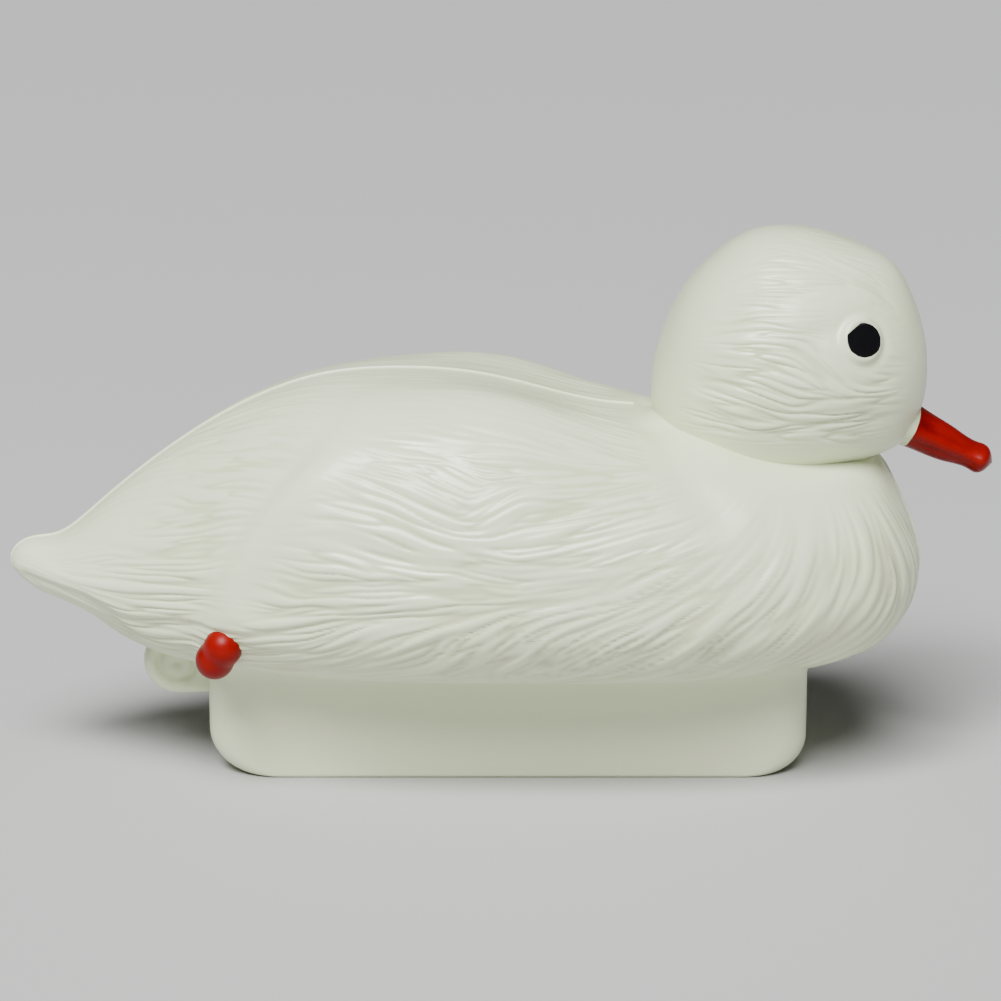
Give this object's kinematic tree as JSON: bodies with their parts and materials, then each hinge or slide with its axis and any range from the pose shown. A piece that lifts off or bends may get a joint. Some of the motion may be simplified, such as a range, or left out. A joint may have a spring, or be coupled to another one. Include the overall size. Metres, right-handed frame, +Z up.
{
  "type": "floating duck decoy",
  "caption": "Floating duck decoy with carved feather strands, a round head on a separate neck seat, a painted bill and a flat keel that it stands on.",
  "frame": {"origin": "middle of the keel's flat sole, below the middle of the decoy's length and width", "axes": "+X towards the bill, +Z up, +Y to the duck's left"},
  "size_m": [0.36, 0.1524, 0.2022],
  "materials": {
    "pearl_white": "pearly off-white moulded plastic, satin gloss",
    "head_white": "pearly off-white moulded plastic, satin gloss, with a red bill and black eyes painted on",
    "red_paint": "brick-red satin enamel paint on plastic, on the bill and the feet"
  },
  "bodies": {
    "root": {"body": "pearl_white", "head": "head_white"}
  },
  "joints": []
}
